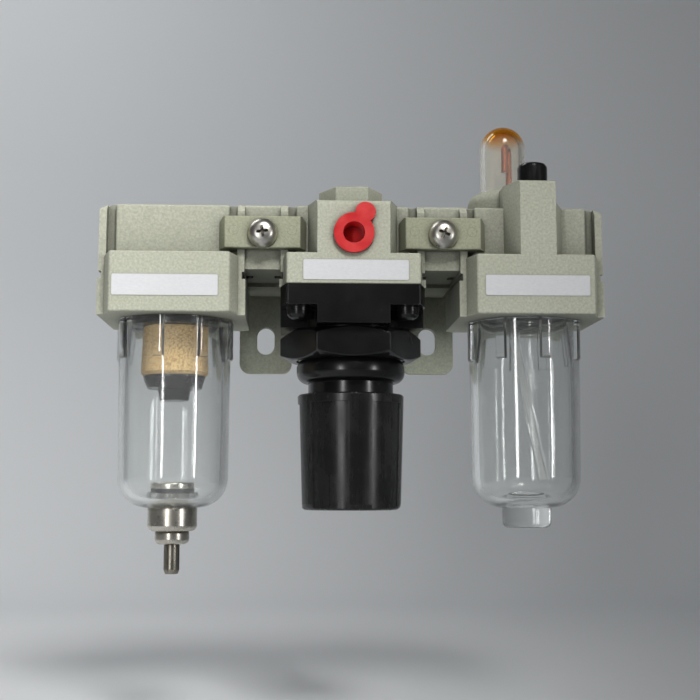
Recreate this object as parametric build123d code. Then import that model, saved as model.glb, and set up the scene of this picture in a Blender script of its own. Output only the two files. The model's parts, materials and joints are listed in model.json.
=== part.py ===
from build123d import *
import math
import os

# Filter, regulator and lubricator in one row. Millimetres. The origin is the centre of the inlet port's
# face; +X runs with the air, -Y is the front, +Z is up. The wall is behind, at y = WALL_Y.

# ---- driving dimensions: layout ----
MODULE_WIDTH = 40.0
SPACER_WIDTH = 10.0
PITCH = MODULE_WIDTH + SPACER_WIDTH
FILTER_X = MODULE_WIDTH / 2
REGULATOR_X = FILTER_X + PITCH
LUBRICATOR_X = REGULATOR_X + PITCH
WALL_Y = 30.0

# ---- driving dimensions: the die-cast body plan that the modules share ----
HALF = MODULE_WIDTH / 2
FACE_Y = 20.0
TIP_Y = 13.7
BLOCK_Y = 12.2
GROOVE_Y = 10.1
BLOCK_HALF = 15.8
TIP_THICK = 2.0
WING_HALF = 20.3
NOTCH_HALF = 19.3
BODY_TOP = 9.4
STEP_Z = -5.3
FLANGE_LOW = -9.8
NOTCH_LOW = -11.8
FLANGE_CHAMFER = 2.1
LOWER_FRONT_HALF = 16.2
LOWER_FLARE_HALF = 18.4

# ---- driving dimensions: ports ----
PORT_R = 5.72
PORT_LENGTH = 10.0
PASSAGE_R = 5.0
GAUGE_PORT_R = 4.3

# ---- driving dimensions: bowls ----
BOWL_BODY_LOW = -21.9
CAVITY_R = 15.0
CAVITY_TOP = -9.9
NECK_R = 14.9
NECK_INNER_R = 12.6
NECK_TOP = -11.9
BOWL_R = 15.7
BOWL_WALL = 2.3
BOWL_LOW = -74.6
BOWL_CORNER = 8.5
RIB_R = 16.8
RIB_LOW = -33.4
RIB_WIDTH = 2.9
RIB_COUNT = 8
SEAL_R = 1.0
FILTER_RIB_ANGLE = -101.0
LUBRICATOR_RIB_ANGLE = -124.0

# ---- driving dimensions: drain under the filter bowl ----
DRAIN_STEM_TOP = -67.75
DRAIN_SEAT_Z = -69.1
DRAIN_CORE_TOP = -69.05
DRAIN_SHELF_Z = -71.6
NOZZLE_R = 2.2
NOZZLE_TOP = -84.8
NOZZLE_LOW = -91.6
NOZZLE_GROOVES = 8
NOZZLE_GROOVE_WIDTH = 0.35

# ---- driving dimensions: regulator ----
REG_LOW = -14.0
REG_FRONT_HALF = 18.3
REG_FLARE_HALF = 19.2
BONNET_LOW = -24.6
BONNET_POCKET_TOP = -19.6
BONNET_THREAD_R = 15.4
THREAD_PITCH = 1.5
THREAD_LOW = -34.8
NECK_LOW = -48.5
SPRING_ROOM_R = 13.0
KNOB_TOP = -42.9
KNOB_LOW = -75.2
KNOB_TOP_R = 15.1
KNOB_LOW_R = 14.1
SCREW_X = 15.0
SCREW_Y = 14.5
NUT_AF = 35.0
HEX_PLUG_AF = 16.0
HEX_PLUG_TOP = 16.1
SEAT_Z = -2.2
DIAPHRAGM_LOW = -15.2
PLATE_LOW = -17.0
NUT_SEAT_Z = -31.3
SPRING_ROOM_LOW = -36.0
ADJUSTING_THREAD_R = 3.85
KNOB_RECESSES = 5
KNOB_RECESS_ANGLE = 46.0
KNOB_RECESS_START = -140.0

# ---- driving dimensions: lubricator top ----
DOME_X = LUBRICATOR_X - 4.8
DOME_Y = 3.5
DOME_R = 6.65
DOME_TOP = 37.2
BOSS_R = 10.4
BOSS_TOP = 16.8
POST_X = LUBRICATOR_X + 0.8
POST_HALF = 4.95
POST_TOP = 15.5
PLUG_X = LUBRICATOR_X + 0.6
PLUG_Y = -13.7
RISER_X = DOME_X + 2.3
RISER_Y = DOME_Y + 2.1
THROAT_R = 4.0
DAMPER_X = LUBRICATOR_X + 7.5

# ---- driving dimensions: clamps and brackets ----
CLAMP_FRONT = 16.0
CLAMP_BACK = 12.4
CLAMP_LOW = -3.5
CLAMP_HIGH = 5.5
CLAMP_SCREW_Z = 0.6
SPACER_LOW = -8.8
PLATE_HALF = 8.0
PLATE_THICK = 3.0
BRACKET_LOW = -34.0
SLOT_Z = -24.0
SLOT_WIDTH = 5.4
SLOT_HEIGHT = 8.4


# ---- shape helpers ----
def block(x_low, x_high, y_low, y_high, z_low, z_high):
    centre = Pos((x_low + x_high) / 2, (y_low + y_high) / 2, (z_low + z_high) / 2)
    return centre * Box(x_high - x_low, y_high - y_low, z_high - z_low)


def rod(radius, z_low, z_high, x=0.0, y=0.0):
    return Pos(x, y, (z_low + z_high) / 2) * Cylinder(radius, z_high - z_low)


def rod_along_x(radius, x_low, x_high, y=0.0, z=0.0):
    return Pos((x_low + x_high) / 2, y, z) * Rot(0, 90, 0) * Cylinder(radius, x_high - x_low)


def rod_along_y(radius, y_low, y_high, x=0.0, z=0.0):
    return Pos(x, (y_low + y_high) / 2, z) * Rot(90, 0, 0) * Cylinder(radius, y_high - y_low)


def plan(points, z_low, z_high):
    """A plan outline in X and Y raised from z_low to z_high."""
    face = make_face(Polyline(*points, close=True))
    return Pos(0, 0, z_low) * extrude(face, amount=z_high - z_low, dir=(0, 0, 1))


def mirrored_plan(right_side, z_low, z_high):
    """The right half of an outline, listed from front to back, is mirrored to the left."""
    left_side = [(-x, y) for x, y in reversed(right_side)]
    return plan(right_side + left_side, z_low, z_high)


def side_outline(points, x_low, x_high):
    """An outline in Y and Z extruded along X."""
    face = Plane.YZ * make_face(Polyline(*points, close=True))
    return Pos(x_low, 0, 0) * extrude(face, amount=x_high - x_low, dir=(1, 0, 0))


def front_outline(points, y_low, y_high):
    """An outline in X and Z extruded along Y."""
    face = Plane.XZ * make_face(Polyline(*points, close=True))
    return Pos(0, y_low, 0) * extrude(face, amount=y_high - y_low, dir=(0, 1, 0))


def turned(profile):
    """A closed outline of (radius, z) turned about the Z axis."""
    return revolve(Plane.XZ * make_face(Polyline(*profile, close=True)), Axis.Z)


def arc_points(centre_r, centre_z, radius, start, end, count=8):
    """Points on an arc in the (radius, z) plane, angles in degrees from the +radius direction."""
    angles = [math.radians(start + (end - start) * i / count) for i in range(count + 1)]
    return [(centre_r + radius * math.cos(a), centre_z + radius * math.sin(a)) for a in angles]


def ring(mean_radius, wire_radius, x, y, z):
    return Pos(x, y, z) * Torus(mean_radius, wire_radius)


def coil(mean_radius, wire_radius, z_low, z_high, turns, x, y):
    height = z_high - z_low - 2 * wire_radius
    path = Helix(pitch=height / turns, height=height, radius=mean_radius)
    profile = Plane(origin=path @ 0, z_dir=path % 0) * Circle(wire_radius)
    return Pos(x, y, z_low + wire_radius) * sweep(profile, path=path)


def hexagon(across_flats, z_low, z_high):
    """A hexagonal prism with one flat in front."""
    face = RegularPolygon(across_flats / math.sqrt(3), 6)
    return Pos(0, 0, z_low) * extrude(face, amount=z_high - z_low, dir=(0, 0, 1))


def hex_with_chamfers(across_flats, z_low, z_high):
    """A hexagon whose corners are cut back at about 30 degrees, as on a turned nut."""
    corner = across_flats / math.sqrt(3) + 0.05
    flat = across_flats / 2 - 0.4
    drop = (corner - flat) * math.tan(math.radians(30))
    profile = [
        (0, z_low), (flat, z_low), (corner, z_low + drop),
        (corner, z_high - drop), (flat, z_high), (0, z_high),
    ]
    return hexagon(across_flats, z_low, z_high) & turned(profile)


def soften(shape, edges, radius):
    return fillet(edges, radius) if edges else shape


def only_one(shape):
    solids = shape.solids()
    return solids[0] if len(solids) == 1 else Compound(children=list(solids))


def write(name, shape, x=0.0):
    placed = Pos(x, 0, 0) * shape if x else shape
    export_step(only_one(placed), f"parts/{name}.step")


# ---- the shared body, about its own axis ----
def flange_pair():
    """The two clamping flanges, with chamfered upper corners."""
    cut = FLANGE_CHAMFER
    outline = [
        (-TIP_Y, FLANGE_LOW),
        (TIP_Y, FLANGE_LOW),
        (TIP_Y, BODY_TOP - cut),
        (TIP_Y - cut, BODY_TOP),
        (-TIP_Y + cut, BODY_TOP),
        (-TIP_Y, BODY_TOP - cut),
    ]
    right = side_outline(outline, HALF - TIP_THICK, HALF)
    left = side_outline(outline, -HALF, -HALF + TIP_THICK)
    return right + left


def rounded_block(x_low, x_high, y_low, y_high, z_low, z_high, radius):
    """A block whose top edges and standing edges are rounded."""
    shape = block(x_low, x_high, y_low, y_high, z_low, z_high)
    edges = shape.edges().filter_by(Axis.Z) + shape.edges().group_by(Axis.Z)[-1]
    return fillet(edges, radius)


def upper_part():
    core = block(-HALF + 1, HALF - 1, -GROOVE_Y, GROOVE_Y, STEP_Z - 1, BODY_TOP)
    body = rounded_block(-BLOCK_HALF, BLOCK_HALF, -BLOCK_Y, BLOCK_Y, STEP_Z - 1, BODY_TOP, 0.7)
    return core + body + flange_pair()


def end_slope(side):
    """The wedge taken off the top of a body's open end."""
    return front_outline([
        (side * (HALF + 1.4), BODY_TOP - 2.7), (side * (HALF - 4.2), BODY_TOP + 0.9),
        (side * (HALF + 1.4), BODY_TOP + 0.9),
    ], -FACE_Y, FACE_Y)


def lower_plan(front_half, flare_half, side_half):
    return [
        (front_half, -FACE_Y),
        (flare_half, -TIP_Y),
        (side_half, -TIP_Y),
        (side_half, FACE_Y - 2),
        (side_half - 2, FACE_Y),
    ]


def lower_part(front_half, flare_half, low):
    """The wide lower part, with a notch under each clamping flange."""
    shape = mirrored_plan(lower_plan(front_half, flare_half, HALF), FLANGE_LOW, STEP_Z)
    shape += mirrored_plan(lower_plan(front_half, flare_half, NOTCH_HALF), NOTCH_LOW, FLANGE_LOW)
    shape += mirrored_plan(lower_plan(front_half, flare_half, WING_HALF), low, NOTCH_LOW)
    front = shape.edges().filter_by(Axis.Z).group_by(Axis.Y)[0]
    shape = soften(shape, front, 0.8)
    top_front = shape.edges().filter_by(Axis.X).filter_by_position(Axis.Y, -FACE_Y - 0.1, -FACE_Y + 0.1)
    return soften(shape, top_front, 0.5)


def shared_body(front_half, flare_half, low):
    return upper_part() + lower_part(front_half, flare_half, low)


def port_passages(left_r, left_length, right_r, right_length):
    left = rod_along_x(left_r, -HALF - 1, -HALF + left_length)
    right = rod_along_x(right_r, HALF - right_length, HALF + 1)
    return left + right


def bowl_cavity():
    return rod(CAVITY_R, BOWL_BODY_LOW - 1, CAVITY_TOP)


# ---- filter module ----
def filter_body():
    body = shared_body(LOWER_FRONT_HALF, LOWER_FLARE_HALF, BOWL_BODY_LOW)
    body -= end_slope(-1) + bowl_cavity()
    body += rod(6.0, -15.0, CAVITY_TOP + 0.5)
    body -= port_passages(PORT_R, PORT_LENGTH, PASSAGE_R, 24.5)
    body -= rod_along_x(4.6, -HALF + 1, -7.6)
    body -= block(-11.4, -7.6, -5, 5, CAVITY_TOP - 1, 0)
    body -= rod(4.0, -16, 0)
    return body - rod(2.0, 0, 7.4)


def filter_stud():
    return rod(1.95, -40.5, 7.3)


def filter_deflector():
    shape = turned([
        (4.2, -15.1), (8.5, -15.1), (8.5, -21.9), (12.2, -21.9), (12.2, -23.7),
        (4.6, -23.7), (4.6, -22.2), (7.0, -22.2), (7.0, -16.6), (4.2, -16.6),
    ])
    for i in range(12):
        slot = Pos(10.5, 0, -22.8) * Rot(35, 0, 0) * Box(2.2, 0.9, 4.0)
        shape -= Rot(0, 0, i * 30) * slot
    return shape


def filter_element():
    return turned([(5.5, -23.8), (9.1, -23.8), (9.5, -36.6), (8.9, -37.5), (5.5, -37.5)])


def filter_baffle():
    shape = turned([
        (0, -37.6), (8.8, -37.6), (8.5, -39.0), (7.6, -41.0), (4.6, -41.2), (4.0, -44.5), (0, -44.5),
    ])
    for i in range(6):
        shape -= Rot(0, 0, i * 60) * Pos(6.6, 0, -40.6) * Box(2.6, 1.0, 2.0)
    return shape - rod(2.0, -40.7, -37)


def bowl_shell(outline_below, angle):
    """A clear bowl: threaded neck, round wall with grip ribs and the given outline at the bottom."""
    inner_r = BOWL_R - BOWL_WALL
    shoulder = BOWL_BODY_LOW - 0.3
    outline = [(NECK_INNER_R, NECK_TOP), (NECK_R, NECK_TOP), (NECK_R, shoulder), (BOWL_R + 0.3, shoulder)]
    outline += [(BOWL_R, RIB_LOW)] + outline_below
    outline += [(inner_r - 0.2, BOWL_LOW + BOWL_CORNER), (inner_r, RIB_LOW), (NECK_INNER_R, -26.0)]
    shell = turned(outline)
    for i in range(RIB_COUNT):
        rib = block(BOWL_R - 1.5, RIB_R, -RIB_WIDTH / 2, RIB_WIDTH / 2, RIB_LOW, shoulder)
        outer = rib.edges().filter_by(Axis.Z).group_by(Axis.X)[-1]
        lower = rib.edges().group_by(Axis.Z)[0].filter_by(Axis.Y).group_by(Axis.X)[-1]
        rib = fillet(outer + lower, 0.8)
        shell += Rot(0, 0, angle + i * 360 / RIB_COUNT) * rib
    return shell


def filter_bowl():
    wall_low_r = BOWL_R - 0.3
    corner = arc_points(wall_low_r - BOWL_CORNER, BOWL_LOW + BOWL_CORNER, BOWL_CORNER, 0, -90)
    inner_corner = BOWL_CORNER - BOWL_WALL
    inside = arc_points(wall_low_r - BOWL_CORNER, BOWL_LOW + BOWL_CORNER, inner_corner, -90, 0)
    floor = [(4.75, BOWL_LOW), (4.75, -70.6), (7.2, -70.6), (7.2, inside[0][1])]
    return bowl_shell(corner + floor + inside[1:-1], FILTER_RIB_ANGLE)


def drain_inner_nut():
    return turned([(4.62, -69.4), (6.2, -69.4), (6.2, -67.9), (5.9, -67.6), (4.62, -67.6)])


def drain_seal():
    return rod(6.1, -70.6, -69.4) - rod(4.62, -71, -69)


def drain_housing():
    """A stem through the bowl's hole, with the seat sunk in its top, and a wide knob below the bowl."""
    seat = [(2.0, DRAIN_SEAT_Z), (3.3, DRAIN_SEAT_Z), (3.3, DRAIN_STEM_TOP)]
    outside = [(4.6, DRAIN_STEM_TOP), (4.6, -74.65), (6.9, -74.65)] + arc_points(5.3, -79.4, 1.6, 0, -90)
    return turned(seat + outside + [(3.3, -81.0), (3.3, DRAIN_SHELF_Z), (2.0, DRAIN_SHELF_Z)])


def drain_ring():
    outside = [(2.35, -78.7), (3.25, -78.7), (3.25, -81.05), (4.5, -81.05), (4.8, -81.5)]
    return turned(outside + arc_points(3.4, -83.2, 1.4, 0, -90) + [(2.35, -84.6)])


def drain_core():
    """The nozzle that is pushed up to drain: stem, stop disc and a serrated hose end."""
    shape = turned([
        (0, DRAIN_CORE_TOP), (1.5, DRAIN_CORE_TOP), (1.5, -77.6), (3.0, -77.6), (3.0, -78.6), (2.0, -78.6),
        (2.0, NOZZLE_TOP), (NOZZLE_R, NOZZLE_TOP), (NOZZLE_R, NOZZLE_LOW), (1.8, -92.8), (0.8, -92.8),
        (0.8, -80.0), (0, -80.0),
    ])
    groove = Pos(NOZZLE_R + 0.15, 0, -89.4) * Box(0.6, NOZZLE_GROOVE_WIDTH, 8.0)
    for i in range(NOZZLE_GROOVES):
        shape -= Rot(0, 0, (i + 0.5) * 360 / NOZZLE_GROOVES) * groove
    return shape - rod_along_y(0.6, -4, 4, 0, -80.3)


def drain_core_seal():
    top = DRAIN_CORE_TOP + 1.4
    return turned([(0, top), (2.6, top), (3.0, top - 0.6), (3.0, DRAIN_CORE_TOP), (0, DRAIN_CORE_TOP)])


def drain_spring():
    return coil(2.4, 0.3, -77.5, DRAIN_SHELF_Z - 0.1, 5, 0, 0)


# ---- regulator module ----
def gauge_panel():
    """The raised panel around a gauge port, front or back."""
    shape = mirrored_plan([(9.95, -FACE_Y), (12.5, -BLOCK_Y), (12.5, 0)], STEP_Z - 1, BODY_TOP)
    front = shape.edges().filter_by(Axis.X).group_by(Axis.Y)[0].group_by(Axis.Z)[-1]
    return fillet(front, 1.6)


def regulator_body():
    body = shared_body(REG_FRONT_HALF, REG_FLARE_HALF, REG_LOW)
    body += gauge_panel()
    body += Rot(0, 0, 180) * gauge_panel()
    body -= port_passages(PASSAGE_R, 14.2, PASSAGE_R, 12.0)
    body -= rod(14.0, REG_LOW - 1, FLANGE_LOW)
    body -= rod(3.2, FLANGE_LOW - 1, 0)
    chamber = rod(5.8, -3.0, 3.5) - (rod(4.2, -3.0, SEAT_Z - 0.05) - rod(3.2, -4, 0))
    body -= chamber
    body -= rod(6.75, 3.0, BODY_TOP + 1)
    body -= rod(8.1, 8.3, BODY_TOP + 1)
    body -= block(9, 13, -4, 4, FLANGE_LOW - 1, 0)
    for side in (-1, 1):
        body -= rod_along_y(GAUGE_PORT_R, min(side * 12, side * 21), max(side * 12, side * 21))
        body -= block(-2, 2, min(side * 12.2, side * 13.6), max(side * 12.2, side * 13.6), FLANGE_LOW - 1, 0)
        for x in (-SCREW_X, SCREW_X):
            body -= rod(1.6, REG_LOW - 1, REG_LOW + 7.5, x, side * SCREW_Y)
    return body


def valve_plug():
    return hexagon(HEX_PLUG_AF, 9.6, HEX_PLUG_TOP) + rod(6.7, 3.6, 9.7) - rod(4.2, 3, 12)


def valve_plug_seal():
    return ring(7.4, 0.6, 0, 0, 8.95)


def inlet_valve():
    return turned([
        (0, 6.0), (1.6, 6.0), (1.6, 0.5), (5.0, 0.5), (5.0, SEAT_Z), (1.1, SEAT_Z), (1.1, -12.9), (0, -12.9),
    ])


def valve_spring():
    return coil(2.9, 0.4, 0.55, 11.95, 6, 0, 0)


def diaphragm():
    return rod(16.5, DIAPHRAGM_LOW, REG_LOW) - rod(3.6, DIAPHRAGM_LOW - 1, REG_LOW + 1)


def diaphragm_plate():
    shape = turned([
        (0, -12.98), (2.9, -12.98), (3.5, -13.5), (3.5, DIAPHRAGM_LOW - 0.05), (9.0, DIAPHRAGM_LOW - 0.05),
        (9.4, DIAPHRAGM_LOW - 0.4), (9.4, PLATE_LOW), (0, PLATE_LOW),
    ])
    return shape - rod(0.8, PLATE_LOW - 1, -16)


def adjusting_spring():
    return coil(8.3, 1.0, NUT_SEAT_Z + 0.1, PLATE_LOW - 0.1, 3.5, 0, 0)


def adjusting_nut():
    """The spring seat on the screw; two tabs in the bonnet's grooves keep it from turning."""
    bore = ADJUSTING_THREAD_R + 0.1
    low = NUT_SEAT_Z - 3.0
    shape = turned([
        (bore, NUT_SEAT_Z), (11.8, NUT_SEAT_Z), (11.8, NUT_SEAT_Z - 1.7), (8.0, low), (bore, low),
    ])
    tabs = block(-13.5, 13.5, -1.5, 1.5, NUT_SEAT_Z - 1.7, NUT_SEAT_Z) - rod(11, low - 1, NUT_SEAT_Z + 1)
    return shape + tabs


def adjusting_screw():
    shape = rod(ADJUSTING_THREAD_R, -58, -20.5) + rod(6.2, SPRING_ROOM_LOW + 0.1, SPRING_ROOM_LOW + 1.3)
    return shape + hexagon(10.0, -60.0, NECK_LOW - 0.3)


def bonnet_thread_profile():
    """Half of a threaded tube's outline: V-shaped turns, then a rounded end ring."""
    depth = 0.8
    turns = int((BONNET_LOW - THREAD_LOW) / THREAD_PITCH)
    points = []
    for i in range(turns):
        z = BONNET_LOW - 0.2 - i * THREAD_PITCH
        points += [(BONNET_THREAD_R, z), (BONNET_THREAD_R, z - 0.35), (BONNET_THREAD_R - depth, z - 0.95)]
    points += [(BONNET_THREAD_R, THREAD_LOW)]
    points += arc_points(BONNET_THREAD_R - 3.0, -36.6, 3.0, 0, -90)
    return points


def bonnet():
    top = mirrored_plan([
        (REG_FRONT_HALF, -FACE_Y), (HALF, -TIP_Y), (HALF, TIP_Y), (REG_FRONT_HALF, FACE_Y),
    ], BONNET_LOW, REG_LOW)
    top = fillet(top.edges().filter_by(Axis.Z), 0.8)
    for x in (-1, 1):
        for y in (-1, 1):
            pocket = block(9.9, 22, 9.0, 22, BONNET_LOW - 1, BONNET_POCKET_TOP)
            pocket = fillet(pocket.edges().filter_by(Axis.Z), 1.5)
            top -= in_quarter(pocket, x, y)
            top -= rod(2.1, BONNET_LOW, REG_LOW + 1, x * SCREW_X, y * SCREW_Y)
    tube_points = [(0, BONNET_LOW + 2), (BONNET_THREAD_R, BONNET_LOW + 2)] + bonnet_thread_profile()
    tube_points += [(12.1, -39.6), (12.1, NECK_LOW + 0.5), (11.6, NECK_LOW), (0, NECK_LOW)]
    shape = top + turned(tube_points)
    shape -= rod(16.6, DIAPHRAGM_LOW - 0.05, REG_LOW + 1)
    shape -= rod(SPRING_ROOM_R, SPRING_ROOM_LOW, REG_LOW)
    shape -= block(-13.8, 13.8, -1.7, 1.7, SPRING_ROOM_LOW, -20.0)
    return shape - rod(ADJUSTING_THREAD_R + 0.05, NECK_LOW - 1, SPRING_ROOM_LOW + 1)


def in_quarter(shape, x, y):
    """Places a piece made for the (+X, +Y) corner in the corner whose signs are x and y."""
    result = mirror(shape, Plane.YZ) if x < 0 else shape
    return mirror(result, Plane.XZ) if y < 0 else result


def bonnet_screw(x, y):
    head = turned([
        (0, -23.3), (1.5, -23.2), (2.5, -22.7), (3.1, -21.8), (3.25, -20.9), (3.25, -19.65), (0, -19.65),
    ])
    cross = block(-1.3, 1.3, -0.4, 0.4, -24, -22.2) + block(-0.4, 0.4, -1.3, 1.3, -24, -22.2)
    shank = rod(1.55, -19.7, REG_LOW + 7)
    return Pos(x, y, 0) * (head - cross + shank)


def bonnet_screws():
    corners = [(x, y) for x in (-SCREW_X, SCREW_X) for y in (-SCREW_Y, SCREW_Y)]
    return Compound(children=[bonnet_screw(x, y) for x, y in corners])


def panel_nut():
    return hex_with_chamfers(NUT_AF, -33.4, -25.0) - rod(BONNET_THREAD_R + 0.1, -34, -24)


def knob():
    shape = turned([
        (0, KNOB_TOP), (KNOB_TOP_R - 0.4, KNOB_TOP), (KNOB_TOP_R, KNOB_TOP - 0.4),
        (KNOB_LOW_R + 0.1, KNOB_LOW + 1.6),
    ] + arc_points(KNOB_LOW_R - 1.5, KNOB_LOW + 1.5, 1.5, 0, -90) + [(0, KNOB_LOW)])
    taper = turned([
        (KNOB_TOP_R - 0.5, KNOB_TOP - 2.5), (KNOB_TOP_R + 2, KNOB_TOP - 2.5),
        (KNOB_LOW_R + 3, KNOB_LOW - 1), (KNOB_LOW_R - 0.4, KNOB_LOW - 1),
    ])
    for i in range(KNOB_RECESSES):
        start = math.radians(KNOB_RECESS_START + i * 360 / KNOB_RECESSES)
        span = [math.radians(KNOB_RECESS_ANGLE * s / 4) for s in range(5)]
        wedge = [(0, 0)] + [(20 * math.cos(start + a), 20 * math.sin(start + a)) for a in span]
        shape -= taper & plan(wedge, KNOB_LOW - 1, KNOB_TOP - 2.5)
    shape -= rod(12.3, -53.0, KNOB_TOP + 1)
    return shape - hexagon(10.2, -65.0, -52)


def gauge_port_cap():
    """Soft plastic cap: a shank in the port, a flange with a recess and a pull tab."""
    face = -FACE_Y - 0.05
    shape = rod_along_y(5.55, face - 1.3, face)
    shape += Pos(3.1, face - 0.65, 5.7) * Rot(90, 0, 0) * Cylinder(2.8, 1.3)
    shape += rod_along_y(4.2, face, face + 6.0)
    return shape - rod_along_y(2.95, face - 2, face + 5.0)


def rear_gauge_plug():
    shape = rod_along_y(4.25, 12.6, FACE_Y - 0.4)
    socket = Pos(0, FACE_Y - 4.2, 0) * Rot(-90, 0, 0) * extrude(RegularPolygon(2.9, 6), amount=5)
    return shape - socket


# ---- lubricator module ----
def lubricator_top():
    """The oil filling post in front and the round boss that holds the sight dome."""
    offset = POST_X - LUBRICATOR_X
    low = plan([
        (offset - POST_HALF, -FACE_Y), (offset + POST_HALF, -FACE_Y), (offset + 8.1, -BLOCK_Y),
        (offset + 8.1, 0), (offset - 8.3, 0), (offset - 8.3, -BLOCK_Y),
    ], STEP_Z - 1, BODY_TOP - 0.2)
    high = plan([
        (offset - POST_HALF, -FACE_Y), (offset + POST_HALF, -FACE_Y), (offset + 5.6, -8.0),
        (offset + 4.2, -4.0), (offset - 8.3, -4.0), (offset - 8.3, -BLOCK_Y),
    ], STEP_Z, POST_TOP)
    high = fillet(high.edges().group_by(Axis.Z)[-1].group_by(Axis.Y)[0], 0.9)
    boss_x = DOME_X - LUBRICATOR_X
    boss = rod(BOSS_R, STEP_Z, BOSS_TOP, boss_x, DOME_Y)
    boss = fillet(boss.edges().filter_by(GeomType.CIRCLE).group_by(Axis.Z)[-1], 3.6)
    return low + high + boss


def lubricator_body():
    body = shared_body(LOWER_FRONT_HALF, LOWER_FLARE_HALF, BOWL_BODY_LOW) + lubricator_top()
    body -= end_slope(1) + bowl_cavity()
    body -= port_passages(PASSAGE_R, 12.0, PORT_R, PORT_LENGTH)
    body -= rod_along_x(THROAT_R, -9, 7)
    body -= rod_along_x(PASSAGE_R - 0.4, 6, HALF)
    dome_x = DOME_X - LUBRICATOR_X
    body -= rod(6.75, 7.0, BOSS_TOP + 1, dome_x, DOME_Y)
    body -= rod(1.0, 3.0, 8.0, dome_x, DOME_Y - 2.0)
    riser_x = RISER_X - LUBRICATOR_X
    body -= rod(0.85, CAVITY_TOP - 1, 8.0, riser_x, RISER_Y)
    body -= rod(1.75, CAVITY_TOP - 1, -5.4, riser_x, RISER_Y)
    plug_x = PLUG_X - LUBRICATOR_X
    body -= rod(3.27, -6.0, POST_TOP + 1, plug_x, PLUG_Y)
    body -= rod(4.35, POST_TOP - 0.9, POST_TOP + 1, plug_x, PLUG_Y)
    return body - block(plug_x - 3, plug_x + 3, -14.5, -8.6, CAVITY_TOP - 1, -5.5)


def sight_dome():
    """A clear round-topped tube with a screwed-in base."""
    top_z = DOME_TOP - DOME_R
    outer = [(5.0, 8.7), (DOME_R, 8.7)] + arc_points(0, top_z, DOME_R, 0, 90, 12)
    inner = arc_points(0, top_z, 5.0, 90, 0, 12)
    return Pos(DOME_X, DOME_Y, 0) * turned(outer + inner)


def sight_dome_seal():
    return ring(5.85, 0.8, DOME_X, DOME_Y, 7.82)


def drip_nozzle():
    shape = rod(1.6, 7.05, 19.0, RISER_X, RISER_Y)
    return shape - rod(1.0, 6.5, 20, RISER_X, RISER_Y)


def drip_tube():
    """A bent copper pipe: long leg in the nozzle, short leg over the drip hole."""
    top = 31.4
    short_x = DOME_X + 0.4
    short_y = DOME_Y - 1.2
    points = [
        (RISER_X, RISER_Y, 14.0), (RISER_X, RISER_Y, top), (short_x, short_y, top), (short_x, short_y, 23.4),
    ]
    path = FilletPolyline(*points, radius=1.85)
    return sweep(Plane(origin=path @ 0, z_dir=path % 0) * Circle(0.95), path=path)


def fill_plug():
    shape = turned([
        (0, 5.0), (3.2, 5.0), (3.2, 15.65), (4.15, 15.65), (4.15, 20.4), (3.7, 21.2), (3.0, 21.5), (0, 21.5),
    ])
    shape -= block(-3.2, 3.2, -0.5, 0.5, 20.5, 22)
    return Pos(PLUG_X, PLUG_Y, 0) * shape


def fill_plug_seal():
    return ring(3.78, 0.5, PLUG_X, PLUG_Y, 15.12)


def flow_damper():
    """A thin flap across the air passage, hung from its upper edge."""
    shape = rod_along_x(4.3, DAMPER_X, DAMPER_X + 0.6)
    shape -= block(DAMPER_X - 1, DAMPER_X + 1, -5, 5, -5, -2.8)
    return shape + block(DAMPER_X - 0.8, DAMPER_X + 0.6, -2.0, 2.0, 3.3, 3.9)


def check_ball():
    return Pos(RISER_X, RISER_Y, -7.0) * Sphere(1.4)


def siphon_tube():
    """A straight oil pick-up tube that leans from the riser to the bowl's floor."""
    points = [(RISER_X, RISER_Y, -9.3), (RISER_X, RISER_Y, -20.0), (LUBRICATOR_X + 5.2, 0.5, -67.0)]
    path = FilletPolyline(*points, radius=25.0)
    start = Plane(origin=path @ 0, z_dir=path % 0)
    outer = sweep(start * Circle(1.6), path=path)
    return outer - sweep(start * Circle(0.9), path=path)


def lubricator_bowl():
    wall_low_r = BOWL_R - 0.3
    corner = arc_points(wall_low_r - BOWL_CORNER, BOWL_LOW + BOWL_CORNER, BOWL_CORNER, 0, -80)
    nub = [(6.95, BOWL_LOW + 0.1)] + arc_points(5.1, -78.6, 1.7, 0, -90) + [(0, -80.3)]
    inner_corner = BOWL_CORNER - BOWL_WALL
    inside = arc_points(wall_low_r - BOWL_CORNER, BOWL_LOW + BOWL_CORNER, inner_corner, -90, 0)
    floor = [(0, -70.9), (4.9, -70.9), (5.2, inside[0][1])]
    return bowl_shell(corner + nub + floor + inside[1:-1], LUBRICATOR_RIB_ANGLE)


def bowl_seal():
    return ring(13.75, SEAL_R, 0, 0, NECK_TOP + SEAL_R)


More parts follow.
